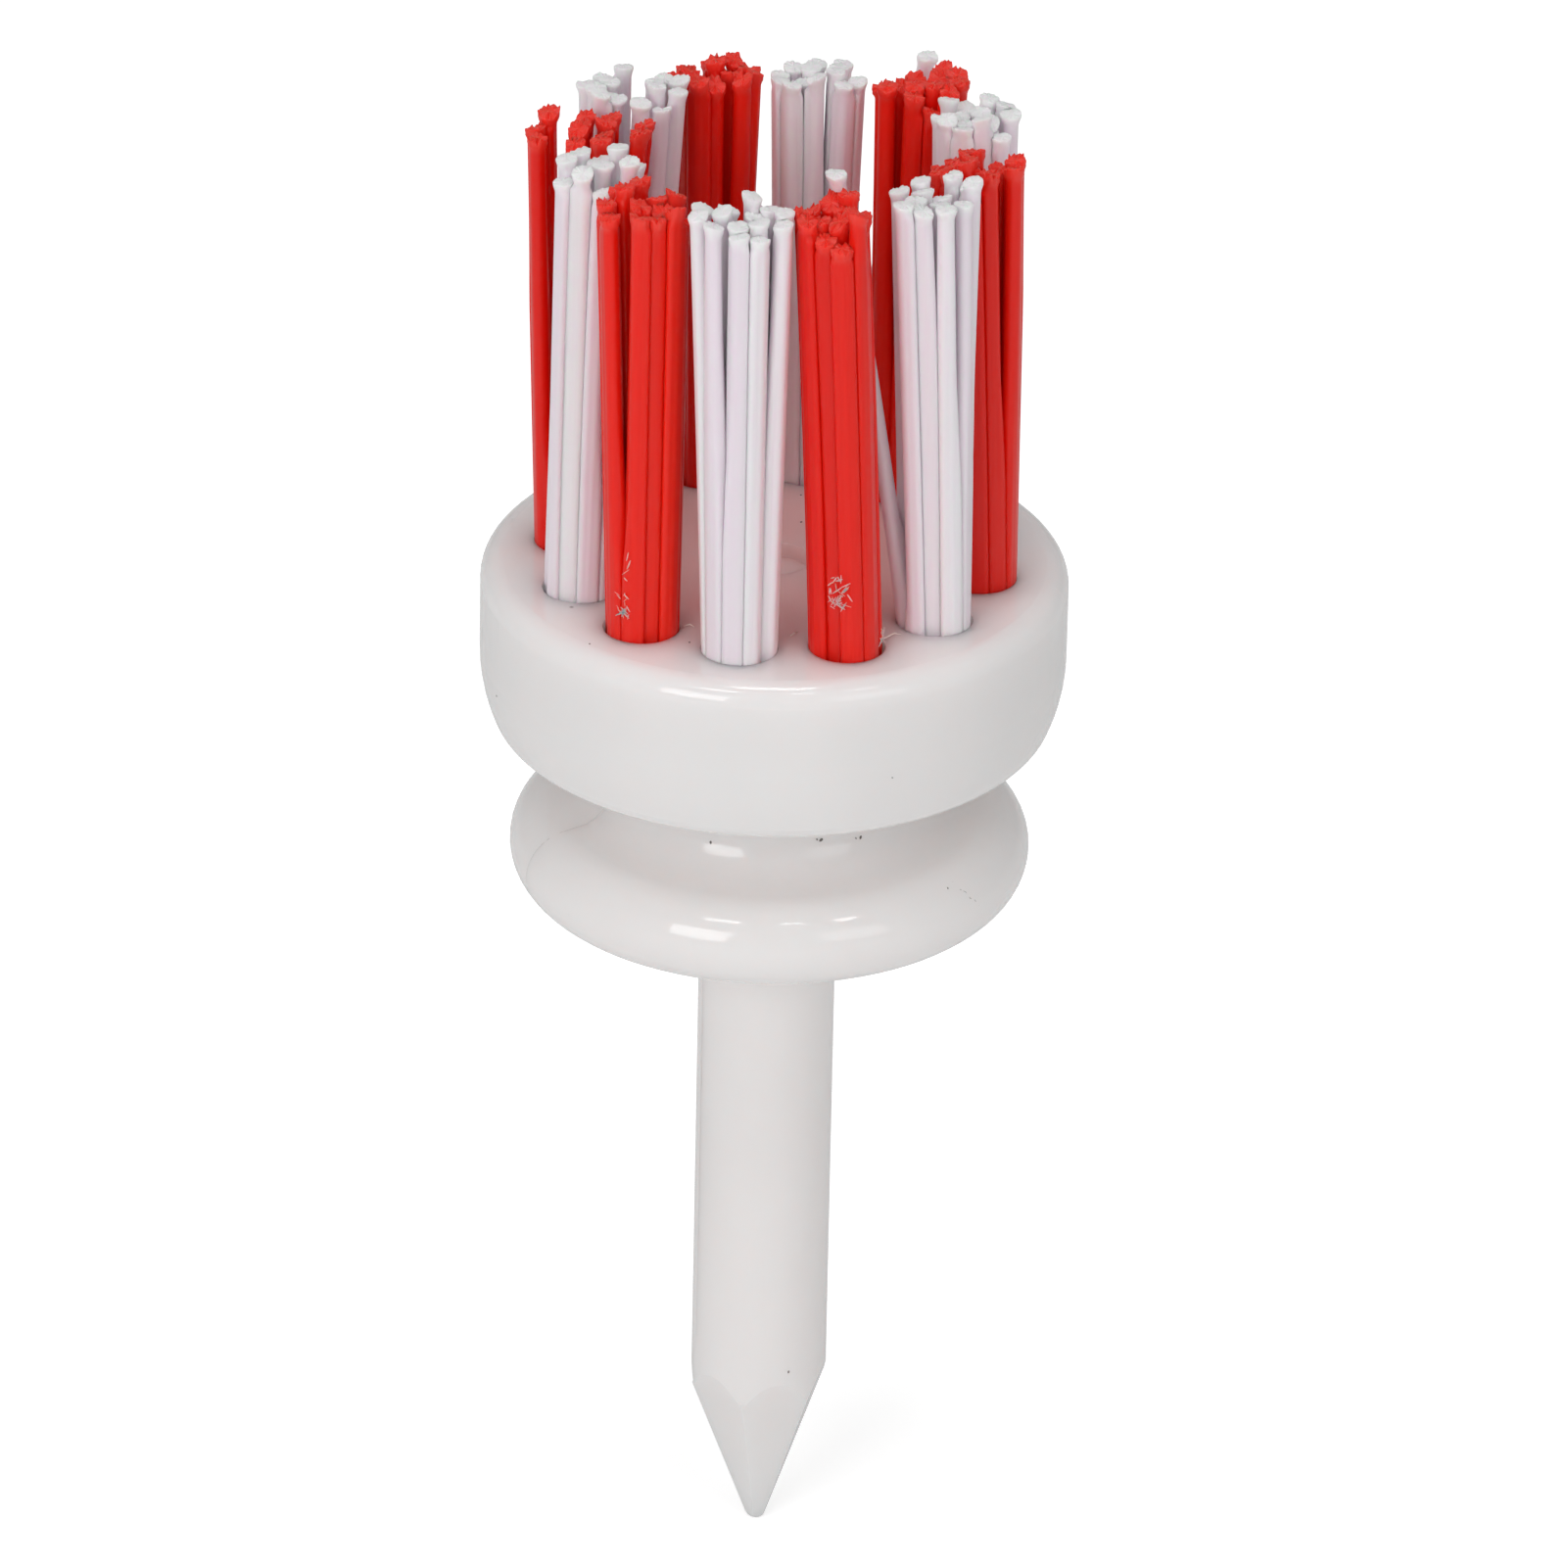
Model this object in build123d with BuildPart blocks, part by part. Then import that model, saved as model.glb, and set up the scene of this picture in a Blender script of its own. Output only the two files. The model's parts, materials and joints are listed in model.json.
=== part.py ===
from build123d import *

import os

os.makedirs("parts", exist_ok=True)

# Golf tee with a ring of bristle tufts in place of a cup. One moulded body carries the stem with its
# six-sided point, the flange that stops on the turf, the waist groove and the round head. Each of the
# twelve blind holes in the head holds one tuft: seven nylon filaments folded in half round a flat wire
# anchor, whose ends bite into the wall of the hole. Millimetres, +Z up, z = 0 at the flange's underside.

# Head
head_radius = 10.5
head_top = 12.9
head_edge_radius = 0.8
head_wall_low = 9.4
belly_radius = 6.0
belly_sweep = 22.0
underside_corner_radius = 0.9
recess_radius = 1.3
recess_depth = 0.6

# Flange: a half-round rim, and the half-round groove that makes the waist above it
rim_radius = 1.65
rim_circle = 7.70

# Stem and point
stem_radius = 2.47
stem_blank_z = -23.0
facet_start_z = -18.0
lip_z = -20.55
point_end_z = -26.6
point_sides = 6
point_turn = 26.0
lip_radius = 2.54
point_end_radius = 0.30
nose_radius = 0.42
nose_sweep = 65.0
nose_length = 12.0

# Tufts, on one circle round the head
tuft_count = 12
tuft_circle = 7.35
hole_radius = 1.37
hole_depth = 5.0
filament_radius = 0.265
filament_pitch = 0.555
free_length = 16.3
tip_spread = 1.28
bend_share = 0.85
splay_bend_radius = 12.0

# Wire anchor at the bottom of each hole
anchor_thickness = 0.30
anchor_height = 1.65
anchor_bite = 0.15
fold_clearance = 0.02
floor_clearance = 0.05

# Rows of filaments in a tuft, across the anchor: four in the inner row, three nested outside it
row_step = filament_pitch * 3 ** 0.5 / 2
inner_row = anchor_thickness / 2 + fold_clearance + filament_radius
outer_row = inner_row + row_step
inner_places = [filament_pitch * step for step in (-1.5, -0.5, 0.5, 1.5)]
outer_places = [filament_pitch * step for step in (-1.0, 0.0, 1.0)]

# Depths below the head's top
outer_fold = hole_depth - floor_clearance - filament_radius
inner_fold = outer_fold - row_step
anchor_low = inner_fold - filament_radius - 4 * fold_clearance
anchor_length = 2 * (hole_radius + anchor_bite)


def tuft_plane(index):
    """Plane on the head's top at one hole, its X pointing away from the tee's axis."""
    ring = Plane.XY.offset(head_top).rotated((0, 0, index * 360 / tuft_count - 90))
    return Plane(origin=ring.from_local_coords((tuft_circle, 0, 0)), x_dir=ring.x_dir, z_dir=ring.z_dir)


def make_body():
    groove_radius = (underside_z() - 2 * rim_radius) / 2
    with BuildPart() as body:
        with BuildSketch(Plane.XZ):
            with BuildLine():
                edge_centre = (head_radius - head_edge_radius, head_top - head_edge_radius)
                edge = CenterArc(edge_centre, head_edge_radius, 90, -90)
                wall = Line(edge @ 1, (head_radius, head_wall_low))
                belly = CenterArc((head_radius - belly_radius, head_wall_low), belly_radius, 0, -belly_sweep)
                corner = CenterArc(corner_centre(), underside_corner_radius, -belly_sweep, belly_sweep - 90)
                groove_centre = (rim_circle, underside_z() - groove_radius)
                underside = Line(corner @ 1, (rim_circle, underside_z()))
                groove = CenterArc(groove_centre, groove_radius, 90, 180)
                rim = CenterArc((rim_circle, rim_radius), rim_radius, 90, -180)
                Polyline(rim @ 1, (0, 0), (0, head_top), edge @ 0)
            make_face()
        revolve(axis=Axis.Z)
        with BuildSketch(Plane.XY.offset(head_top)):
            with PolarLocations(tuft_circle, tuft_count, start_angle=-90):
                Circle(hole_radius)
        extrude(amount=-hole_depth, mode=Mode.SUBTRACT)
        with BuildSketch(Plane.XY.offset(head_top - anchor_low)):
            with PolarLocations(tuft_circle, tuft_count, start_angle=-90):
                Rectangle(anchor_length, anchor_thickness)
        extrude(amount=anchor_height, mode=Mode.SUBTRACT)
        with BuildSketch(Plane.XY.offset(head_top)):
            Circle(recess_radius)
        extrude(amount=-recess_depth, mode=Mode.SUBTRACT)
        add(make_stem())
    return body


def corner_centre():
    """Centre of the small arc that turns the belly of the head into its underside."""
    reach = belly_radius - underside_corner_radius
    along = PolarLocations(reach, 1, start_angle=-belly_sweep).local_locations[0].position
    return (head_radius - belly_radius + along.X, head_wall_low + along.Y)


def underside_z():
    return corner_centre()[1] - underside_corner_radius


def facet_radius(height):
    """Distance from the axis to a corner of the six facets at a height."""
    return point_end_radius + (height - point_end_z) * (lip_radius - point_end_radius) / (lip_z - point_end_z)


def make_facets(top):
    """Six-sided pyramid from a height down to the blunt end of the point, with a ball nose."""
    with BuildPart() as facets:
        for height in (top, point_end_z):
            with BuildSketch(Plane.XY.offset(height)):
                RegularPolygon(facet_radius(height), point_sides, rotation=point_turn)
        loft()
        with BuildSketch(Plane.XZ):
            with BuildLine():
                nose = CenterArc((0, point_end_z + nose_radius), nose_radius, -90, nose_sweep)
                flank = Line(nose @ 1, nose @ 1 + nose_length * (nose % 1))
                Polyline(flank @ 1, (0, (flank @ 1).Y), nose @ 0)
            make_face()
        revolve(axis=Axis.Z, mode=Mode.INTERSECT)
    return facets.part


def make_stem():
    """Round stem cut to six facets like a pencil, with the facets' corners standing just proud as lips."""
    with BuildPart() as stem:
        with BuildSketch(Plane.XY.offset(facet_start_z)):
            Circle(stem_radius)
        extrude(amount=stem_blank_z - facet_start_z)
        add(make_facets(facet_start_z), mode=Mode.INTERSECT)
        add(make_facets(lip_z))
        with BuildSketch():
            Circle(stem_radius)
        extrude(amount=facet_start_z)
    return stem.part


def make_tuft(index):
    """Seven filaments, each folded in half under the anchor, with both ends standing out of the hole."""
    plane = tuft_plane(index)
    rows = [(inner_row, inner_fold, inner_places), (outer_row, outer_fold, outer_places)]
    with BuildPart() as tuft:
        for row, fold, places in rows:
            for place in places:
                ends = [
                    (place * tip_spread, row * tip_spread, free_length),
                    (place, row, 0),
                    (place, row, -fold),
                    (place, -row, -fold),
                    (place, -row, 0),
                    (place * tip_spread, -row * tip_spread, free_length),
                ]
                bend = bend_share * row
                with BuildLine() as filament:
                    corners = [plane.from_local_coords(point) for point in ends]
                    FilletPolyline(*corners, radius=[splay_bend_radius, bend, bend, splay_bend_radius])
                with BuildSketch(Plane(filament.line @ 0, z_dir=filament.line % 0)):
                    Circle(filament_radius)
                sweep(path=filament.line)
    return tuft


def make_anchor(index):
    with BuildPart() as anchor:
        with BuildSketch(tuft_plane(index).offset(-anchor_low)):
            Rectangle(anchor_length, anchor_thickness)
        extrude(amount=anchor_height)
    return anchor


tee_body = make_body()
tee_body.part.label = "tee_body"
export_step(tee_body.part, "parts/tee_body.step")

for index in range(tuft_count):
    colour = "white" if index % 2 == 0 else "red"
    tuft = make_tuft(index)
    tuft.part.label = f"{colour}_tuft_{index + 1:02d}"
    export_step(tuft.part, f"parts/{tuft.part.label}.step")
    anchor = make_anchor(index)
    anchor.part.label = f"tuft_anchor_{index + 1:02d}"
    export_step(anchor.part, f"parts/{anchor.part.label}.step")
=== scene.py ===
"""Brush golf tee: bristle tufts, moulding marks, materials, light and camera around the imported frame."""

import json
import math
import random

import bpy
import numpy as np
from mathutils import Matrix, Vector
from mathutils.bvhtree import BVHTree


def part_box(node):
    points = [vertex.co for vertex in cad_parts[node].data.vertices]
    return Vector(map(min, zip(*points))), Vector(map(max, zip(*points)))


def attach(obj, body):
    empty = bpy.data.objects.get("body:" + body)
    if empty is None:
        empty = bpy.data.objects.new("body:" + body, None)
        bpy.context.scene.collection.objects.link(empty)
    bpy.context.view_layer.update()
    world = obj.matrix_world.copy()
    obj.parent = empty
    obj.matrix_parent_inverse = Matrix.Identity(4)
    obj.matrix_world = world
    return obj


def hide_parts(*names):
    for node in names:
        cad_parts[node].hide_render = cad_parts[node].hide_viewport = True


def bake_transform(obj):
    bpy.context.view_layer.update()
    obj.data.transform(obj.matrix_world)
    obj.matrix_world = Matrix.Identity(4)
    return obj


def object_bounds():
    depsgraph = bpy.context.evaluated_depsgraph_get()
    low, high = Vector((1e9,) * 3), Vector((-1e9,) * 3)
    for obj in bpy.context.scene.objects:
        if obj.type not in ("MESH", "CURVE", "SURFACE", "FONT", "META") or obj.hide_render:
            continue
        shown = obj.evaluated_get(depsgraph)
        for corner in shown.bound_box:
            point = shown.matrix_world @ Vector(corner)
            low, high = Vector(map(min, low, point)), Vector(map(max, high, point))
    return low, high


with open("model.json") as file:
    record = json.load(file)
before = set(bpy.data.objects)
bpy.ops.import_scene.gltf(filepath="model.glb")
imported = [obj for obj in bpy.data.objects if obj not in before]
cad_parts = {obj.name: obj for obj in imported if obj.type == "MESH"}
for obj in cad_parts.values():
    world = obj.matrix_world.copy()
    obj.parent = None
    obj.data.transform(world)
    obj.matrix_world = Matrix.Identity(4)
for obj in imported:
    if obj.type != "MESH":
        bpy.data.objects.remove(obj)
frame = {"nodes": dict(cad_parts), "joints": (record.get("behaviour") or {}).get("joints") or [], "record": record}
cad_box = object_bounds()

MM = 0.001

# Places read from the frame
HEAD_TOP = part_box("tee_body")[1].z
POINT_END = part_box("tee_body")[0].z
FREE_LENGTH = cad_box[1].z - HEAD_TOP

# Camera
CAMERA_AZIMUTH = 9.4          # degrees from -Y towards +X
CAMERA_ELEVATION = 26.2       # degrees above level
CAMERA_ROLL = 1.2             # degrees
CAMERA_DISTANCE = 472 * MM
FIELD_WIDTH = 55.9 * MM       # what the picture is wide at the head's top
AIM_BELOW = 9.05 * MM         # centre of the picture, below the head's top
AIM_RIGHT = 0.49 * MM         # and to the right of the tee's axis
SENSOR_WIDTH = 36

# Soft boxes: degrees to the right of the camera, degrees above level, distance, width, height (m), power (W)
LAMPS = {
    "top_left": (-30, 60, 0.55, 0.11, 0.06, 0.13),
    "top_middle": (17, 60, 0.55, 0.07, 0.05, 0.06),
    "top_right": (50, 58, 0.55, 0.08, 0.06, 0.09),
    "overhead": (0, 87, 0.60, 0.16, 0.16, 0.48),
    "front_left": (-30, 22, 0.60, 0.26, 0.26, 0.84),
    "front_right": (38, 22, 0.60, 0.30, 0.26, 0.33),
}
FLOOR_HALF = 2.0              # half the floor's width (m)

# Bristles
STRANDS = 14
STRAND_RADIUS = 0.290 * MM    # a strand that stands free
PRESSED_RADIUS = 0.430 * MM   # how far a strand swells into the corners between touching neighbours
TOUCHING = 0.72 * MM          # strands this far apart or less press on each other
APART = 0.82 * MM             # strands this far apart or more don't
ROOT_SPACING = 0.622 * MM     # between the axes of two strands in their hole
TIP_SPACING = 2.04 * STRAND_RADIUS
HOLE_RADIUS = 1.37 * MM
WALL_GAP = 0.008 * MM         # between a strand and the wall of its hole
CONTACT_GAP = 0.0005 * MM     # half of what is left between two strands that press on each other
LEAST_HALF = 0.1 * MM         # no strand is pressed flatter than this
LIP = 0.2 * MM                # up to this height a tuft keeps to its hole
BURIED = 2.0 * MM             # how far a strand goes down into its hole
FIRST_SEED = 40
SIDES = 32                    # points round a strand
SHAFT_STEPS = 15              # steps from ring to ring up a strand, below its swollen end
PUSH = 0.4                    # share of an overlap that one round of spread_apart takes away
ROUNDS = 160
CURVE = 0.14                  # how much a strand's lean grows towards its tip
MOST_SHARE = 1.1              # how far a strand's line can be followed, in strand lengths
FACING_FULL = 0.55            # a strand swells fully where it faces its neighbour by this cosine

# Cut ends
FLARE = (0.20, 0.38)          # least and most that an end is wider than its strand
SWOLLEN = 0.6 * MM            # length of the swollen end
FROSTED = 0.75 * MM           # length of the frosted end
TORN_REACH = 2.4              # how far torn points stand out at full raggedness, in strand radii
BURR_REACH = 1.32             # the same for the one burr that hangs from some ends
BURR_WIDTH = 0.45             # radians
TORN_HEIGHT = 0.35 * MM
BURR_DROP = 0.10 * MM
CUT_RING = 0.55               # the ring inside the cut face, as a share of its rim
LEAST_TILT = 0.10             # how much a cut can slant (mm), for a clean end
TILT_GROWTH = 0.8             # and how much more for each unit of raggedness
WHITE_RAGGED = 0.05
RED_RAGGED = 0.15

# How far the cut end of a strand is swollen, at each distance (mm) below its end
WHITE_END = {0.60: 0.0, 0.42: 0.14, 0.30: 0.36, 0.18: 0.72, 0.09: 1.0, 0.03: 0.98, 0.0: 0.84}
RED_END = {0.60: 0.0, 0.46: 0.10, 0.34: 0.40, 0.24: 0.85, 0.14: 0.80, 0.05: 1.0, 0.0: 0.86}

# Each tuft's own set, in mm except the fans: how far its tips lean outward and along the ring (seen from
# outside, to the right), how many times wider it is at the tips each way, how much it stands above the
# trim line and how uneven it is, and its splits. A split opens a gap between the strands on both sides of
# a line: the line's direction (degrees from outward), its place, the gap at the tips, and how far up the
# tuft it starts.
SPLIT_STARTS = [0.0, 0.3]
TUFTS = [
    dict(lean=(0.0, -0.20), fan=(1.05, 1.18), rise=0.40, uneven=0.20,
         splits=[(90, -0.70, 0.20, 0.0), (90, -0.15, 0.24, 0.0), (90, 0.80, 0.14, 0.0)]),
    dict(lean=(-0.2, -0.75), fan=(1.06, 1.00), rise=0.20, uneven=0.34, splits=[(0, 0.2, 0.16, 0.3)]),
    dict(lean=(-0.1, -0.42), fan=(1.06, 1.20), rise=0.25, uneven=0.26,
         splits=[(90, -0.50, 0.20, 0.0), (90, -0.10, 0.22, 0.0), (70, 0.62, 0.50, 0.0)]),
    dict(lean=(-0.45, -0.20), fan=(1.15, 1.06), rise=-0.15, uneven=0.30,
         splits=[(20, 0.45, 0.40, 0.0), (90, 0.2, 0.16, 0.3)]),
    dict(lean=(-0.2, 0.0), fan=(1.15, 1.10), rise=0.05, uneven=0.22,
         splits=[(60, 0.1, 0.30, 0.0), (100, 0.7, 0.24, 0.3)]),
    dict(lean=(-0.1, -0.35), fan=(1.12, 1.08), rise=-0.10, uneven=0.24,
         splits=[(100, 0.1, 0.36, 0.0), (10, 0.3, 0.3, 0.0)]),
    dict(lean=(-0.4, -0.10), fan=(1.06, 1.18), rise=-0.50, uneven=0.15,
         splits=[(90, -0.2, 0.26, 0.0), (90, 0.5, 0.14, 0.0)]),
    dict(lean=(-0.4, 0.10), fan=(1.06, 1.20), rise=-0.30, uneven=0.14,
         splits=[(90, -0.1, 0.24, 0.0), (90, -0.6, 0.14, 0.0)]),
    dict(lean=(-0.55, 0.10), fan=(1.30, 1.16), rise=0.05, uneven=0.30,
         splits=[(30, 0.1, 0.70, 0.0), (100, -0.3, 0.30, 0.3)]),
    dict(lean=(-0.55, 0.10), fan=(1.46, 1.06), rise=-0.05, uneven=0.16,
         splits=[(0, -0.45, 0.50, 0.0), (0, 0.50, 0.55, 0.0), (90, 0.1, 0.2, 0.3)]),
    dict(lean=(-0.42, 0.20), fan=(1.25, 1.10), rise=0.05, uneven=0.26,
         splits=[(30, 0.4, 0.36, 0.0), (90, 0.2, 0.18, 0.3)]),
    dict(lean=(-0.1, -0.36), fan=(1.06, 1.10), rise=-0.15, uneven=0.24, splits=[(90, -0.10, 0.62, 0.0)]),
]
# Strands that stand apart: the tuft (counted from 0), where its tip ends (mm outward and along), and how
# much it stands above the trim line (mm)
STRAYS = [(2, (-2.6, -2.9), 1.2), (6, (1.1, -3.75), -0.05)]

# Shavings caught on a tuft's outside: tuft (counted from 0), degrees to the right of its outward side, then
# the patch's middle height, width and extent upward (mm), and how many slivers it holds
SCUFFS = [(1, -28, 2.75, 0.70, 1.30, 38), (11, 12, 1.45, 0.50, 0.90, 22), (11, 20, 2.9, 0.2, 1.2, 4),
          (1, 44, 0.70, 0.35, 0.60, 12), (3, 40, 2.2, 0.3, 1.3, 6), (9, -20, 1.6, 0.6, 1.0, 8)]
SCUFF_REACH = (0.06, 0.20)    # half the length of a sliver (mm), least and most
SCUFF_WIDTH = (0.010, 0.030)  # half its width (mm)
SCUFF_HEIGHT = 0.010 * MM
SCUFF_SLOPE = 1.3             # the most it turns from upright (radians)


def spread_apart(points, least, limit=None, centre=None):
    """Pushes points apart until no two are nearer than least, and keeps them inside a circle."""
    points = np.array(points, float)
    for _ in range(ROUNDS):
        gap = points[:, None] - points[None]
        distance = np.linalg.norm(gap, axis=2) + np.eye(len(points))
        short = np.clip(least - distance, 0, None) * (1 - np.eye(len(points)))
        points += (gap / distance[..., None] * short[..., None]).sum(1) * PUSH
        if limit is not None:
            away = points - centre
            reach = np.linalg.norm(away, axis=1)
            outside = reach > limit
            points[outside] = (centre + away / np.maximum(reach, 1e-9)[:, None] * limit)[outside]
    return points


def packed_bases(chance):
    """Places of the strands inside one hole, in the hole's own plane."""
    room = HOLE_RADIUS - 0.5 * ROOT_SPACING
    golden_angle = math.pi * (3 - math.sqrt(5))
    places = []
    for step in range(STRANDS):
        angle = step * golden_angle + chance.uniform(-0.3, 0.3)
        reach = room * math.sqrt((step + 0.5) / STRANDS)
        places.append((reach * math.cos(angle), reach * math.sin(angle)))
    return spread_apart(places, ROOT_SPACING, room, np.zeros(2))


def tuft_layout():
    """Base, tip and length of every strand of every tuft, with all tips kept off each other."""
    tufts = []
    for index, joint in enumerate(frame["joints"]):
        chance = random.Random(FIRST_SEED + index)
        shape = TUFTS[index]
        centre = np.array(joint["pos_m"][:2])
        outward = centre / np.linalg.norm(centre)
        along = np.array([-outward[1], outward[0]])
        bases = packed_bases(chance)
        tips = bases * shape["fan"] + np.array(shape["lean"]) * MM
        opening = np.zeros((len(SPLIT_STARTS), STRANDS, 2))
        for degrees, place, gap, start in shape["splits"]:
            line = np.array([math.cos(math.radians(degrees)), math.sin(math.radians(degrees))])
            side = np.where(bases @ line > place * MM, 0.5, -0.5)
            opening[SPLIT_STARTS.index(start)] += side[:, None] * line * gap * MM
        lengths = [FREE_LENGTH + (shape["rise"] + chance.gauss(0, shape["uneven"])) * MM for _ in bases]
        for tuft, tip, rise in STRAYS:
            if tuft == index:
                stray = np.argmax(bases @ np.array(tip))
                tips[stray] = np.array(tip) * MM
                opening[:, stray] = 0
                lengths[stray] = FREE_LENGTH + rise * MM
        frame_axes = np.array([outward, along])
        tufts.append(dict(joint=joint, centre=centre, bases=centre + bases @ frame_axes,
                          tips=centre + tips @ frame_axes, opening=opening @ frame_axes,
                          lengths=lengths, chance=chance))
    ends = np.vstack([tuft["tips"] + tuft["opening"].sum(0) for tuft in tufts])
    loose = spread_apart(ends, TIP_SPACING)
    for index, tuft in enumerate(tufts):
        tuft["tips"] += (loose - ends)[index * STRANDS:(index + 1) * STRANDS]
    return tufts


def strand_centres(tuft, level):
    """Where the axis of each strand of a tuft is at a height above the head's top."""
    share = np.clip(level / np.array(tuft["lengths"]), 0, MOST_SHARE)[:, None]
    places = tuft["bases"] + (tuft["tips"] - tuft["bases"]) * share * (1 - CURVE + CURVE * share)
    for start, opening in zip(SPLIT_STARTS, tuft["opening"]):
        places = places + opening * np.clip((share - start) / (1 - start), 0, MOST_SHARE)
    return places


def strand_outline(tuft, strand, level, turns):
    """A strand's axis, and how far its skin is in each direction, pressed flat against its neighbours."""
    centres = strand_centres(tuft, level)
    directions = np.stack([np.cos(turns), np.sin(turns)], 1)
    swell = np.zeros(SIDES)
    flat = np.full(SIDES, 1.0)
    least_facing = 0.05
    skin_room = 1.03
    for other in range(STRANDS):
        if other == strand or tuft["lengths"][other] < level:
            continue
        away = centres[other] - centres[strand]
        distance = np.linalg.norm(away)
        facing = directions @ away / distance
        close = min(max((APART - distance) / (APART - TOUCHING), 0), 1)
        swell = np.maximum(swell, close * np.clip(facing / FACING_FULL, 0, 1))
        half = max(0.5 * distance - CONTACT_GAP, LEAST_HALF)
        pressed = np.minimum(flat, half / np.maximum(facing, least_facing))
        flat = np.where(facing > least_facing, pressed, flat)
    reach = np.minimum(STRAND_RADIUS + (PRESSED_RADIUS - STRAND_RADIUS) * swell, flat)
    middle = centres.mean(0) if level > LIP else tuft["centre"]
    off = centres[strand] - middle
    wall = np.linalg.norm(off) + STRAND_RADIUS * skin_room
    if level <= LIP:
        wall = min(wall, HOLE_RADIUS - WALL_GAP)
    inward = directions @ off
    reach = np.minimum(reach, np.sqrt(np.maximum(inward ** 2 + wall ** 2 - off @ off, 0)) - inward)
    return centres[strand], directions, reach


def strand_levels(length, end):
    """Heights of the rings of a strand, each with how far its end is swollen there."""
    levels = [(-BURIED, 0.0), (-0.5 * BURIED, 0.0), (-0.1 * MM, 0.0)]
    levels += [((length - FROSTED) * step / SHAFT_STEPS, 0.0) for step in range(SHAFT_STEPS + 1)]
    return levels + [(length - below * MM, swell) for below, swell in end.items()]


def add_strand(build, tuft, strand, end, ragged):
    """One closed strand with a swollen, torn end where it was cut."""
    chance = tuft["chance"]
    length = tuft["lengths"][strand]
    turns = math.tau * np.arange(SIDES) / SIDES + chance.uniform(0, 1)
    flare = chance.uniform(*FLARE)
    slant = chance.uniform(0, math.tau)
    tilt = chance.uniform(0.0, LEAST_TILT + TILT_GROWTH * ragged) * MM
    waves = [np.cos(count * turns + chance.uniform(0, 6)) for count in (2, 3)]
    lobes = 1 + ragged * (waves[0] + waves[1])
    torn = np.array([chance.gauss(0, 1) for _ in range(SIDES)])
    burr = np.exp(-(((turns - chance.uniform(0, math.tau)) % math.tau - math.pi) / BURR_WIDTH) ** 2)
    hang = chance.choice([0.0, 0.5, 1.0]) * burr
    rings = []
    for level, swell in strand_levels(length, end):
        centre, directions, reach = strand_outline(tuft, strand, level, turns)
        edge = TORN_REACH * torn * ragged + BURR_REACH * hang
        loose = 1 + flare * swell * lobes + edge * swell * ragged
        reach = reach + (STRAND_RADIUS * loose - reach) * min(2 * swell, 1)
        outline = directions * reach[:, None]
        heights = np.full(SIDES, HEAD_TOP + level)
        if swell > 0:
            share = 1 - (length - level) / SWOLLEN
            cut = tilt * np.cos(turns - slant) + ragged * TORN_HEIGHT * torn - BURR_DROP * hang
            heights += share * cut
        rings.append(np.column_stack([centre + outline, heights]))
    top = rings[-1].mean(0)
    inner = top + (rings[-1] - top) * CUT_RING
    inner[:, 2] += [chance.uniform(-0.3, 0.4) * ragged * MM for _ in range(SIDES)]
    first = len(build["verts"])
    shade = chance.uniform(0, 1)
    for ring in rings + [inner]:
        build["verts"] += [tuple(point) for point in ring]
    build["verts"] += [tuple(top + (0, 0, 0.1 * ragged * MM)), tuple(rings[0].mean(0))]
    add_walls(build["faces"], first, len(rings) + 1)
    build["flat"] += range(len(build["faces"]) - SIDES, len(build["faces"]))
    add_fan(build, first + len(rings) * SIDES, len(build["verts"]) - 2, False)
    build["flat"] += range(len(build["faces"]) - SIDES, len(build["faces"]))
    add_fan(build, first, len(build["verts"]) - 1, True)
    drops = [HEAD_TOP + length - point[2] for point in build["verts"][first:]]
    build["frost"] += [min(max(1 - drop / FROSTED, 0), 1) for drop in drops]
    build["shade"] += [shade] * len(drops)
    build["scuff"] += [0.0] * len(drops)


def add_walls(faces, first, rings, sides=SIDES):
    """Faces between each ring of points and the next."""
    for ring in range(rings - 1):
        for step in range(sides):
            a = first + ring * sides + step
            b = first + ring * sides + (step + 1) % sides
            faces.append((a, b, b + sides, a + sides))


def add_fan(build, rim, hub, downward, sides=SIDES):
    """Closes a ring of points with triangles to one hub point."""
    for step in range(sides):
        pair = (rim + step, rim + (step + 1) % sides)
        build["faces"].append((*(reversed(pair) if downward else pair), hub))


def add_sliver(build, points, normals, width, height):
    """One closed sliver along a few points of a surface, thinning to both ends."""
    first = len(build["verts"])
    sides = 6
    end_width = 0.25
    for place, (point, normal) in enumerate(zip(points, normals)):
        ahead = points[min(place + 1, len(points) - 1)] - points[max(place - 1, 0)]
        across = ahead.cross(normal).normalized()
        taper = end_width + (1 - end_width) * math.sin(math.pi * (place + 0.5) / len(points))
        for step in range(sides):
            angle = -math.tau * step / sides
            offset = across * math.cos(angle) * width + normal * math.sin(angle) * height
            build["verts"].append(tuple(point + offset * taper))
    build["verts"] += [tuple(points[-1]), tuple(points[0])]
    add_walls(build["faces"], first, len(points), sides)
    add_fan(build, first + (len(points) - 1) * sides, len(build["verts"]) - 2, False, sides)
    add_fan(build, first, len(build["verts"]) - 1, True, sides)
    count = len(build["verts"]) - first
    for name in ("shade", "frost", "scuff"):
        build[name] += [1.0] * count


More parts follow.
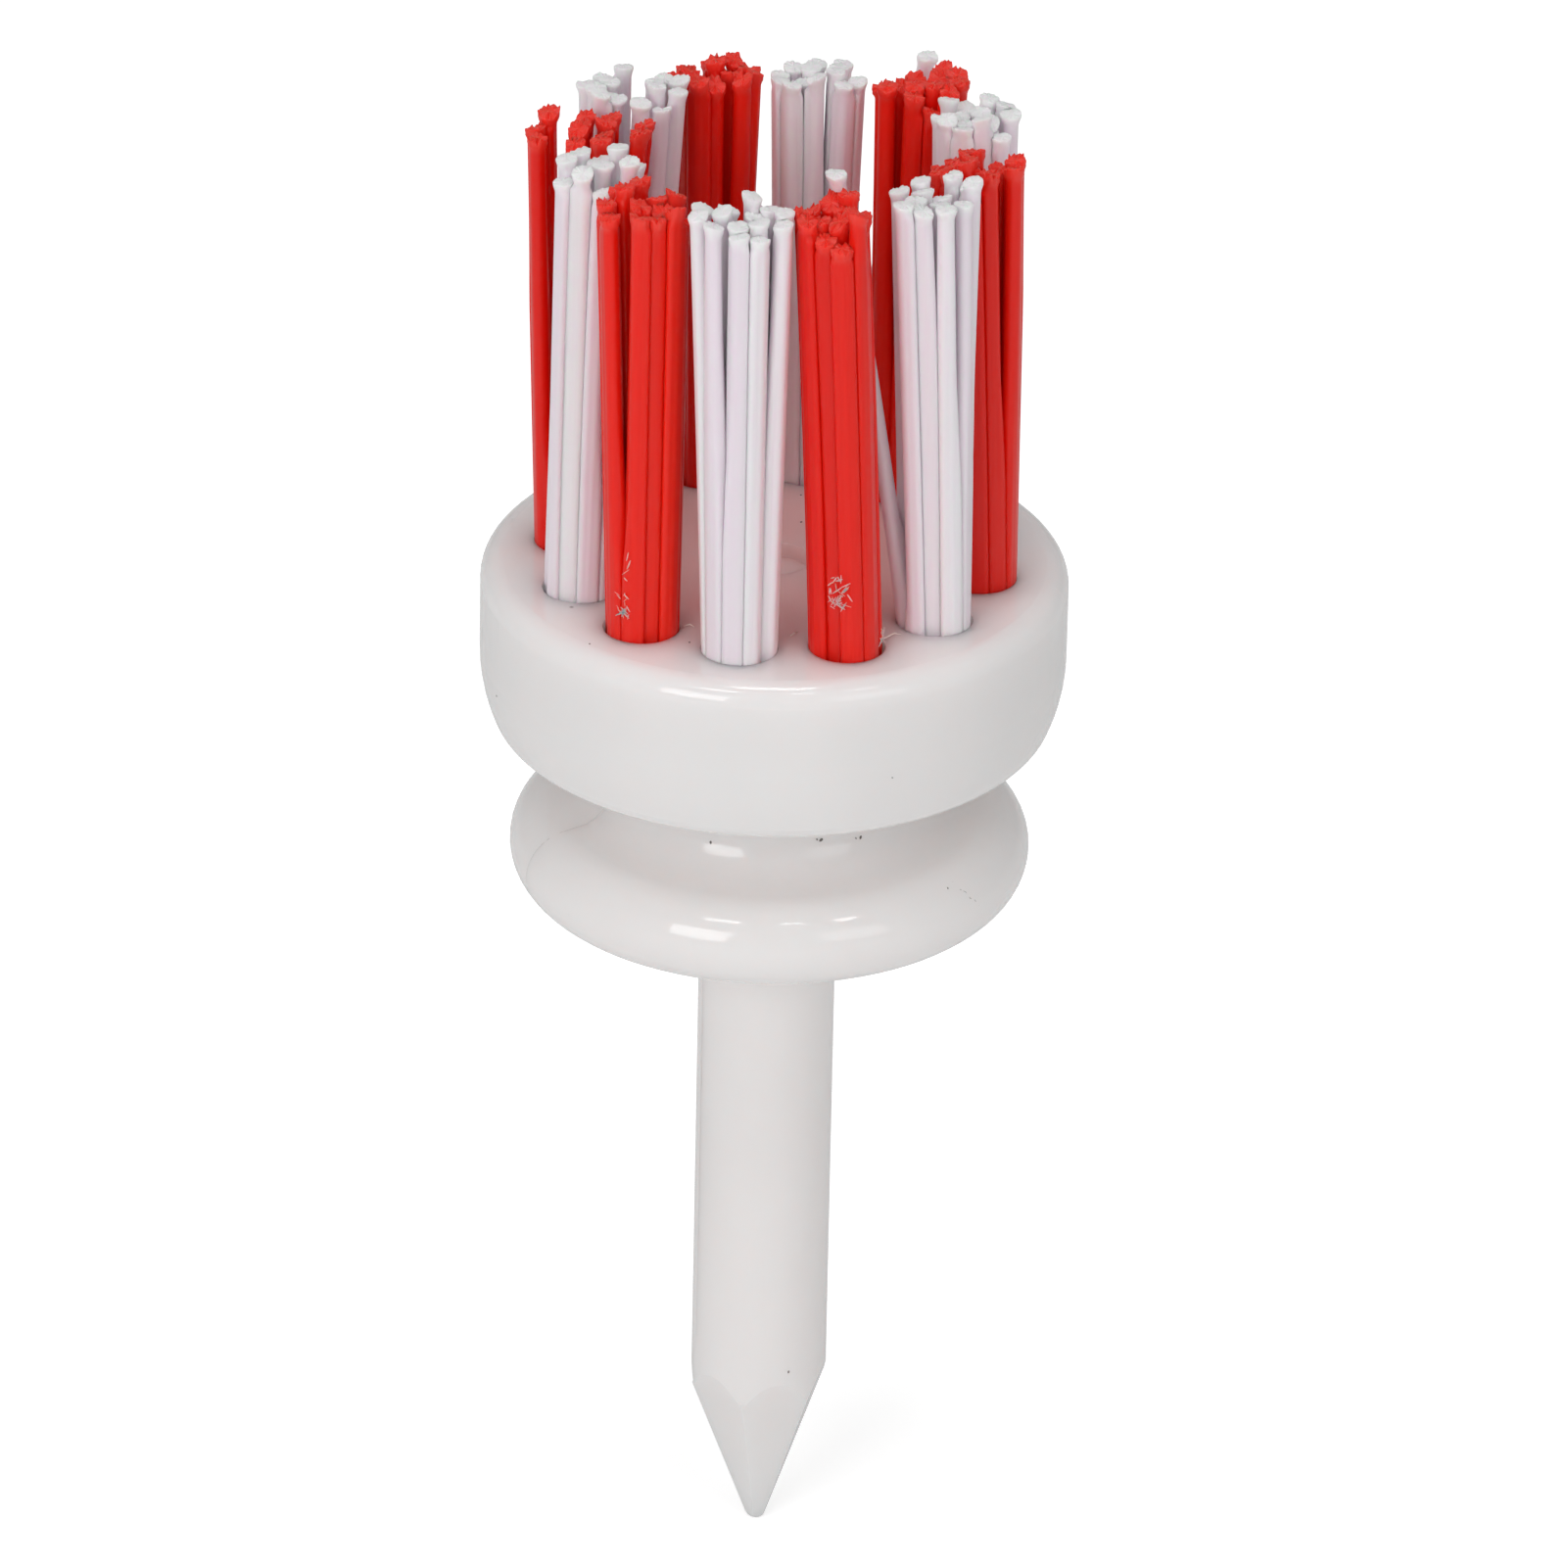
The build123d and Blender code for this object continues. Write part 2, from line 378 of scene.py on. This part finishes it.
def add_scuff(build, tuft, side, height, width, extent, count):
    """A patch of fine shavings on the outside of a tuft."""
    chance = tuft["chance"]
    for _ in range(count):
        level = (height + chance.uniform(-0.5, 0.5) * extent) * MM
        middle = strand_centres(tuft, level).mean(0)
        outward = Vector((*tuft["centre"], 0)).normalized()
        spot = math.radians(side) + chance.uniform(-0.5, 0.5) * width * MM / HOLE_RADIUS
        slope = chance.uniform(-SCUFF_SLOPE, SCUFF_SLOPE)
        reach = chance.uniform(*SCUFF_REACH) * MM
        points, normals = [], []
        for step in (-1.0, -0.3, 0.4, 1.0):
            angle = spot + step * reach * math.sin(slope) / HOLE_RADIUS
            normal = Matrix.Rotation(angle, 3, "Z") @ outward
            lift = (1.02 + 0.02 * chance.random()) * HOLE_RADIUS * (1 + 0.02 * level / MM)
            point = Vector((*middle, HEAD_TOP + level)) + normal * lift
            points.append(point + Vector((0, 0, step * reach * math.cos(slope))))
            normals.append(normal)
        add_sliver(build, points, normals, chance.uniform(*SCUFF_WIDTH) * MM, SCUFF_HEIGHT)


def new_build():
    """Empty lists for a mesh: points, faces, flat faces and the three values each point carries."""
    return dict(verts=[], faces=[], flat=[], shade=[], frost=[], scuff=[])


def make_piece(name, verts, faces, material, flat=()):
    """A mesh object, smooth except on the faces listed as flat."""
    mesh = bpy.data.meshes.new(name)
    mesh.from_pydata(verts, [], faces)
    mesh.materials.append(material)
    smooth = np.ones(len(mesh.polygons), bool)
    smooth[list(flat)] = False
    mesh.polygons.foreach_set("use_smooth", smooth)
    mesh.update()
    piece = bpy.data.objects.new(name, mesh)
    bpy.context.scene.collection.objects.link(piece)
    return piece


def make_tufts(materials):
    """One piece of strands for each tuft, in place of the tuft's own node."""
    for index, tuft in enumerate(tuft_layout()):
        body = tuft["joint"]["child"]
        node_name = frame["record"]["behaviour"]["bodies"][body][0]
        white = node_name.startswith("white")
        slot = "bristle_white" if white else "bristle_red"
        end, ragged = (WHITE_END, WHITE_RAGGED) if white else (RED_END, RED_RAGGED)
        build = new_build()
        for strand in range(STRANDS):
            add_strand(build, tuft, strand, end, ragged)
        for scuffed, *patch in SCUFFS:
            if scuffed == index:
                add_scuff(build, tuft, *patch)
        name = f"{node_name}_bristles"
        piece = make_piece(name, build["verts"], build["faces"], materials[slot], build["flat"])
        for kind in ("shade", "frost", "scuff"):
            values = piece.data.attributes.new(f"strand_{kind}", "FLOAT", "POINT")
            values.data.foreach_set("value", build[kind])
        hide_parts(node_name)
        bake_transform(piece)


# Marks that moulding and use left on the body: bearings in degrees from -Y towards +X, heights in mm

PARTING = -58.6                                # bearing of the mould's parting line, and again opposite it
SEAM_STRETCHES = [(0.35, 6.35), (-18.5, -0.4)]
SEAM_STEP = 0.18                               # mm between the points of a seam
SEAM_WIDTH, SEAM_HEIGHT = 0.035, 0.010         # mm
CLEAR = 20 * MM                                # a point this far out is outside the body
# Dark grains: bearing, height and radius on the side; x, y and radius on the head's top
SIDE_SPECKS = [
    (27.0, 4.62, 0.07), (25.6, 4.66, 0.04), (41.4, 4.45, 0.06), (39.6, 4.46, 0.035), (-10.4, 4.42, 0.05),
    (-59.7, 9.05, 0.05), (36.0, -19.2, 0.05), (56.2, 2.9, 0.035), (-100, 8.0, 0.05), (140, 7.6, 0.04),
    (200, 2.2, 0.05), (95, -9.0, 0.04), (170, 10.6, 0.05), (33.5, 9.1, 0.03),
]
TOP_SPECKS = [
    (0.03, 5.25, 0.05), (0.42, 3.07, 0.055), (-1.79, -7.25, 0.05), (-5.2, -8.1, 0.045), (2.6, 2.2, 0.035),
]
# Curled shavings that lie on the head's top, as runs of points (mm in the top's plane, mm above it)
CURLS = [
    [(4.30, -5.92, 0.05), (4.62, -5.86, 0.03), (4.92, -5.66, 0.10), (5.20, -5.36, 0.16),
     (5.42, -5.22, 0.07)],
    [(4.36, -5.70, 0.40), (4.52, -5.60, 0.26), (4.62, -5.48, 0.10)],
    [(1.62, -6.10, 0.04), (1.74, -5.94, 0.10), (1.80, -5.72, 0.04)],
    [(-2.2, -6.1, 0.03), (-2.0, -6.0, 0.08), (-1.84, -6.06, 0.03)],
]
CURL_WIDTH, CURL_HEIGHT = 0.045, 0.022         # mm
# One fine scratch on the flange: bearing and height of its points
SCRATCH = [(58.6, 2.98), (59.3, 2.72), (60.4, 2.60), (61.0, 2.36), (62.3, 2.22), (63.2, 1.96)]
SCRATCH_WIDTH, SCRATCH_HEIGHT = 0.012, 0.005   # mm


def body_surface():
    """Search tree of the tee body's own surface."""
    mesh = frame["nodes"]["tee_body"].data
    points = [vertex.co.copy() for vertex in mesh.vertices]
    return BVHTree.FromPolygons(points, [tuple(face.vertices) for face in mesh.polygons])


def on_side(surface, azimuth, height):
    """Point and normal of the body at a bearing (degrees from -Y towards +X) and height (mm)."""
    angle = math.radians(azimuth)
    away = Vector((math.sin(angle), -math.cos(angle), 0))
    point, normal, _, _ = surface.ray_cast(away * CLEAR + Vector((0, 0, height * MM)), -away)
    return point, normal if normal.dot(away) > 0 else -normal


def on_top(surface, x, y):
    """Point and normal of the head's top at a place in its plane (mm)."""
    above = Vector((x * MM, y * MM, HEAD_TOP + CLEAR))
    point, normal, _, _ = surface.ray_cast(above, Vector((0, 0, -1)))
    return point, normal


def add_line(build, surface, places, width, height):
    """Fine line through places (bearing, height) on the side of the body."""
    found = [on_side(surface, azimuth, level) for azimuth, level in places]
    points = [point for point, _ in found]
    normals = [normal for _, normal in found]
    add_sliver(build, points, normals, width * MM, height * MM)


def add_seam(build, surface, azimuth, low, high):
    """Fine raised line that the mould's parting leaves, up the side of the body."""
    steps = int((high - low) / SEAM_STEP)
    places = [(azimuth, low + (high - low) * step / steps) for step in range(steps + 1)]
    add_line(build, surface, places, SEAM_WIDTH, SEAM_HEIGHT)


def add_speck(build, point, normal, radius):
    """Small lens-shaped grain that sits in the surface."""
    sides = 8
    uneven = 0.25
    dome, root = 0.25 * radius, 0.5 * radius
    first = len(build["verts"])
    right = normal.orthogonal().normalized()
    up = normal.cross(right)
    for step in range(sides):
        angle = math.tau * step / sides
        stretch = 1 + uneven * math.cos(2 * angle + 90 * radius / MM)
        away = right * math.cos(angle) + up * math.sin(angle)
        build["verts"].append(tuple(point + away * radius * stretch))
    build["verts"] += [tuple(point + normal * dome), tuple(point - normal * root)]
    add_fan(build, first, first + sides, False, sides)
    add_fan(build, first, first + sides + 1, True, sides)


def make_marks(materials):
    """Parting lines, grains with the scratch, and curled shavings, as three pieces that ride on the tee."""
    surface = body_surface()
    seams = new_build()
    for low, high in SEAM_STRETCHES:
        for azimuth in (PARTING, PARTING + 180):
            add_seam(seams, surface, azimuth, low, high)
    marks = make_piece("mould_marks", seams["verts"], seams["faces"], materials["mould_mark"])
    specks = new_build()
    for azimuth, height, radius in SIDE_SPECKS:
        add_speck(specks, *on_side(surface, azimuth, height), radius * MM)
    for x, y, radius in TOP_SPECKS:
        add_speck(specks, *on_top(surface, x, y), radius * MM)
    add_line(specks, surface, SCRATCH, SCRATCH_WIDTH, SCRATCH_HEIGHT)
    grains = make_piece("embedded_specks", specks["verts"], specks["faces"], materials["speck"])
    curls = new_build()
    up = Vector((0, 0, 1))
    for run in CURLS:
        points = [Vector((x * MM, y * MM, HEAD_TOP + lift * MM)) for x, y, lift in run]
        add_sliver(curls, points, [up] * len(points), CURL_WIDTH * MM, CURL_HEIGHT * MM)
    shavings = make_piece("loose_shavings", curls["verts"], curls["faces"], materials["shaving"])
    for piece in (marks, grains, shavings):
        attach(piece, "tee")


# Materials


def new_material(name, colour, roughness):
    """A material with its nodes, links and main shader."""
    material = bpy.data.materials.new(name)
    material.use_nodes = True
    nodes, links = material.node_tree.nodes, material.node_tree.links
    shader = nodes["Principled BSDF"]
    shader.inputs["Base Color"].default_value = (*colour, 1)
    shader.inputs["Roughness"].default_value = roughness
    return material, nodes, links, shader


def node(nodes, kind, **values):
    """A new node with some of its inputs or settings filled in."""
    made = nodes.new(kind)
    for name, value in values.items():
        if name in made.inputs:
            made.inputs[name].default_value = value
        else:
            setattr(made, name, value)
    return made


def object_place(nodes):
    """Each point's place in its object's own frame."""
    return nodes.new("ShaderNodeTexCoord").outputs["Object"]


def noise(nodes, links, place, scale, detail):
    """Noise from 0 to 1 over the places of an object."""
    made = node(nodes, "ShaderNodeTexNoise", Scale=scale, Detail=detail)
    links.new(place, made.inputs["Vector"])
    return made.outputs["Fac"]


def mix(nodes, links, factor, dark, light):
    """Colour between dark and light by a factor socket; either may be a socket or a colour."""
    blend = nodes.new("ShaderNodeMix")
    blend.data_type = "RGBA"
    factor_input, dark_input, light_input, colour_output = 0, 6, 7, 2
    for socket, value in ((factor_input, factor), (dark_input, dark), (light_input, light)):
        if isinstance(value, bpy.types.NodeSocket):
            links.new(value, blend.inputs[socket])
        else:
            blend.inputs[socket].default_value = (*value, 1)
    return blend.outputs[colour_output]


def ramp(nodes, links, source, low, high):
    """0 at low and 1 at high, with a soft change between them; low may be the greater."""
    made = node(nodes, "ShaderNodeMapRange", interpolation_type="SMOOTHSTEP")
    made.inputs["From Min"].default_value = low
    made.inputs["From Max"].default_value = high
    links.new(source, made.inputs["Value"])
    return made.outputs["Result"]


def node_range(nodes, links, source, low, high):
    """A value from 0 to 1 brought to the range from low to high."""
    made = nodes.new("ShaderNodeMapRange")
    made.inputs["To Min"].default_value = low
    made.inputs["To Max"].default_value = high
    links.new(source, made.inputs["Value"])
    return made.outputs["Result"]


def product(nodes, links, one, other):
    """One value times another."""
    made = node(nodes, "ShaderNodeMath", operation="MULTIPLY")
    links.new(one, made.inputs[0])
    links.new(other, made.inputs[1])
    return made.outputs[0]


def add_bump(nodes, links, shader, source, strength, distance):
    """Fine relief from a value, shown in the shading alone."""
    bump = node(nodes, "ShaderNodeBump", Strength=strength, Distance=distance)
    links.new(source, bump.inputs["Height"])
    links.new(bump.outputs["Normal"], shader.inputs["Normal"])


def add_depth(shader, weight, radius, scale):
    """Light that goes into the material and comes out again nearby."""
    shader.inputs["Subsurface Weight"].default_value = weight
    shader.inputs["Subsurface Radius"].default_value = radius
    shader.inputs["Subsurface Scale"].default_value = scale


def painted_bounce_mask(nodes, links, place):
    """How much painted pink bounce light, as if from the red tufts, the head's top takes: most inside the ring, at
    the top.
    """
    most = 0.75
    axes = nodes.new("ShaderNodeSeparateXYZ")
    links.new(place, axes.inputs[0])
    flat = nodes.new("ShaderNodeCombineXYZ")
    links.new(axes.outputs["X"], flat.inputs["X"])
    links.new(axes.outputs["Y"], flat.inputs["Y"])
    radius = node(nodes, "ShaderNodeVectorMath", operation="LENGTH")
    links.new(flat.outputs[0], radius.inputs[0])
    inside = ramp(nodes, links, radius.outputs["Value"], 8.6 * MM, 6.6 * MM)
    near_top = ramp(nodes, links, axes.outputs["Z"], HEAD_TOP - 1.2 * MM, HEAD_TOP - 0.1 * MM)
    return node_range(nodes, links, product(nodes, links, inside, near_top), 0.0, most)


def moulded_plastic():
    """Glossy warm white plastic, faintly clouded and speckled, with painted pink bounce light from the red tufts
    on its top inside the ring.
    """
    material, nodes, links, shader = new_material("moulded_white", (0.80, 0.77, 0.76), 0.16)
    greyer, whiter = (0.875, 0.846, 0.838), (0.905, 0.882, 0.875)
    # Painted bounce light: the pink that the white top takes inside the ring, as if lit by light off the red tufts
    painted_bounce_pink = (0.96, 0.60, 0.58)
    grime = (0.30, 0.27, 0.25)
    place = object_place(nodes)
    tint = mix(nodes, links, noise(nodes, links, place, 180.0, 3.0), greyer, whiter)
    cells = node(nodes, "ShaderNodeTexVoronoi", Scale=330.0, Randomness=1.0)
    links.new(place, cells.inputs["Vector"])
    dot = ramp(nodes, links, cells.outputs["Distance"], 0.055, 0.035)
    seldom = ramp(nodes, links, noise(nodes, links, place, 420.0, 0.0), 0.60, 0.64)
    # Painted bounce light: the top face inside the ring is mixed towards pink
    with_painted_bounce = mix(nodes, links, painted_bounce_mask(nodes, links, place), tint, painted_bounce_pink)
    speckled = mix(nodes, links, product(nodes, links, dot, seldom), with_painted_bounce, grime)
    links.new(speckled, shader.inputs["Base Color"])
    gloss = node_range(nodes, links, noise(nodes, links, place, 900.0, 4.0), 0.05, 0.11)
    links.new(gloss, shader.inputs["Roughness"])
    add_bump(nodes, links, shader, noise(nodes, links, place, 1500.0, 2.0), 0.06, 0.00008)
    add_depth(shader, 0.9, (1.0, 0.88, 0.85), 0.0022)
    shader.inputs["IOR"].default_value = 1.5
    return material


def nylon(name, dark, light, frosted, scuffed, glow, depth):
    """Drawn filament: fine lines along its length, one shade for each strand, frosted at the cut end."""
    material, nodes, links, shader = new_material(name, light, 0.33)
    frost_roughness = 0.06
    place = object_place(nodes)
    strand, frost, scuff = (
        node(nodes, "ShaderNodeAttribute", attribute_name=f"strand_{kind}").outputs["Fac"]
        for kind in ("shade", "frost", "scuff")
    )
    stretch = node(nodes, "ShaderNodeMapping", Scale=(1, 1, 0.03))
    links.new(place, stretch.inputs["Vector"])
    lines = noise(nodes, links, stretch.outputs["Vector"], 9000.0, 2.0)
    streak = node(nodes, "ShaderNodeMath", operation="MULTIPLY_ADD")
    streak.inputs[1].default_value = 0.5
    links.new(lines, streak.inputs[0])
    links.new(strand, streak.inputs[2])
    drawn = mix(nodes, links, ramp(nodes, links, streak.outputs[0], 0.15, 1.35), dark, light)
    cut = mix(nodes, links, ramp(nodes, links, frost, 0.15, 0.95), drawn, frosted)
    links.new(mix(nodes, links, scuff, cut, scuffed), shader.inputs["Base Color"])
    smooth = node_range(nodes, links, lines, 0.26, 0.42)
    rough = node(nodes, "ShaderNodeMath", operation="MULTIPLY_ADD", use_clamp=True)
    rough.inputs[1].default_value = frost_roughness
    links.new(frost, rough.inputs[0])
    links.new(smooth, rough.inputs[2])
    links.new(rough.outputs[0], shader.inputs["Roughness"])
    relief = node(nodes, "ShaderNodeMath", operation="MULTIPLY_ADD")
    links.new(noise(nodes, links, place, 14000.0, 2.0), relief.inputs[0])
    links.new(frost, relief.inputs[1])
    links.new(lines, relief.inputs[2])
    add_bump(nodes, links, shader, relief.outputs[0], 0.3, 0.00002)
    add_depth(shader, 1.0, glow, depth)
    shader.inputs["Specular IOR Level"].default_value = 0.35
    return material


def grained(name, colour, roughness, scale, dark, light):
    """Plain material whose colour wanders between two tints."""
    material, nodes, links, shader = new_material(name, colour, roughness)
    grain = noise(nodes, links, object_place(nodes), scale, 2.0)
    links.new(mix(nodes, links, grain, dark, light), shader.inputs["Base Color"])
    return material


def wire():
    """Drawn brass wire of the anchors."""
    material, nodes, links, shader = new_material("anchor_wire", (0.78, 0.62, 0.32), 0.3)
    shader.inputs["Metallic"].default_value = 1.0
    drawn = noise(nodes, links, object_place(nodes), 4000.0, 3.0)
    links.new(node_range(nodes, links, drawn, 0.22, 0.45), shader.inputs["Roughness"])
    return material


def dress_frame(materials):
    """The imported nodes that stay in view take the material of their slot."""
    for part in frame["record"]["subparts"]:
        name, slot = part["node"], part["material_slot"]
        if slot in ("moulded_white", "anchor_wire"):
            data = frame["nodes"][name].data
            data.materials.clear()
            data.materials.append(materials[slot])


# Light, floor and camera


def bearing(azimuth, elevation):
    """Direction away from the tee: degrees from -Y towards +X, and degrees above level."""
    turn, rise = math.radians(azimuth), math.radians(elevation)
    return Vector((math.sin(turn) * math.cos(rise), -math.cos(turn) * math.cos(rise), math.sin(rise)))


def area_light(name, azimuth, elevation, distance, width, height, power):
    """Soft box aimed at the head, placed by its bearing from the tee and its height above level."""
    data = bpy.data.lights.new(name, "AREA")
    data.shape = "RECTANGLE"
    data.size, data.size_y = width, height
    data.energy = power
    lamp = bpy.data.objects.new(name, data)
    away = bearing(azimuth, elevation)
    lamp.location = Vector((0, 0, HEAD_TOP)) + away * distance
    lamp.rotation_mode = "QUATERNION"
    lamp.rotation_quaternion = away.to_track_quat("Z", "Y")
    bpy.context.scene.collection.objects.link(lamp)


def make_light():
    """Soft boxes, and a white surround that is a little brighter on the camera's left."""
    for name, (right, elevation, *size_and_power) in LAMPS.items():
        area_light(name, CAMERA_AZIMUTH + right, elevation, *size_and_power)
    world = bpy.data.worlds.new("studio")
    world.use_nodes = True
    nodes, links = world.node_tree.nodes, world.node_tree.links
    way = nodes.new("ShaderNodeTexCoord").outputs["Generated"]
    facing = node(nodes, "ShaderNodeVectorMath", operation="DOT_PRODUCT")
    facing.inputs[1].default_value = bearing(CAMERA_AZIMUTH - 28, 30)
    links.new(way, facing.inputs[0])
    glow = node(nodes, "ShaderNodeMapRange")
    for name, value in (("From Min", -0.7), ("From Max", 0.9), ("To Min", 0.34), ("To Max", 0.44)):
        glow.inputs[name].default_value = value
    links.new(facing.outputs["Value"], glow.inputs["Value"])
    background = nodes["Background"]
    background.inputs["Color"].default_value = (1.0, 1.0, 1.0, 1)
    links.new(glow.outputs["Result"], background.inputs["Strength"])
    bpy.context.scene.world = world


def make_floor():
    """Plain pale floor at the height of the tee's point, which looks white to the camera."""
    signs = ((-1, -1), (1, -1), (1, 1), (-1, 1))
    corners = [(x * FLOOR_HALF, y * FLOOR_HALF, POINT_END) for x, y in signs]
    material, nodes, links, shader = new_material("floor_white", (0.93, 0.93, 0.93), 0.9)
    shader.inputs["Specular IOR Level"].default_value = 0.1
    shader.inputs["Emission Color"].default_value = (1, 1, 1, 1)
    seen = nodes.new("ShaderNodeLightPath").outputs["Is Camera Ray"]
    links.new(node_range(nodes, links, seen, 0.0, 0.50), shader.inputs["Emission Strength"])
    floor = make_piece("floor", corners, [(0, 1, 2, 3)], material)


def make_camera():
    """Camera on its bearing from the head's top, turned a little about its own axis."""
    data = bpy.data.cameras.new("camera")
    data.sensor_width = SENSOR_WIDTH
    data.lens = SENSOR_WIDTH * CAMERA_DISTANCE / FIELD_WIDTH
    data.clip_start, data.clip_end = 0.01, 10
    camera = bpy.data.objects.new("camera", data)
    back = bearing(CAMERA_AZIMUTH, CAMERA_ELEVATION)
    right = bearing(CAMERA_AZIMUTH + 90, 0)
    camera.location = Vector((0, 0, HEAD_TOP)) + back * CAMERA_DISTANCE
    aim = Vector((0, 0, HEAD_TOP - AIM_BELOW)) + right * AIM_RIGHT
    camera.rotation_mode = "QUATERNION"
    level = (camera.location - aim).to_track_quat("Z", "Y")
    roll = Matrix.Rotation(math.radians(CAMERA_ROLL), 4, "Z").to_quaternion()
    camera.rotation_quaternion = level @ roll
    bpy.context.scene.collection.objects.link(camera)
    bpy.context.scene.camera = camera


materials = {
    "moulded_white": moulded_plastic(),
    "bristle_white": nylon("bristle_white", (0.88, 0.80, 0.86), (0.95, 0.89, 0.93), (0.95, 0.91, 0.94),
                           (0.95, 0.90, 0.92), (1.0, 0.80, 0.92), 0.27 * MM),
    "bristle_red": nylon("bristle_red", (0.82, 0.010, 0.003), (0.97, 0.022, 0.008), (0.96, 0.055, 0.035),
                         (0.95, 0.50, 0.48), (1.0, 0.12, 0.08), 0.27 * MM),
    "anchor_wire": wire(),
    "mould_mark": grained("mould_mark", (0.72, 0.69, 0.68), 0.25, 3000.0,
                          (0.70, 0.67, 0.66), (0.86, 0.84, 0.83)),
    "speck": grained("speck", (0.16, 0.14, 0.13), 0.6, 6000.0, (0.08, 0.07, 0.065), (0.32, 0.29, 0.27)),
    "shaving": grained("shaving", (0.9, 0.78, 0.72), 0.4, 5000.0, (0.86, 0.66, 0.60), (0.92, 0.88, 0.80)),
}
dress_frame(materials)
make_tufts(materials)
make_marks(materials)
make_floor()
make_light()
make_camera()
bpy.context.scene.view_settings.view_transform = "Standard"
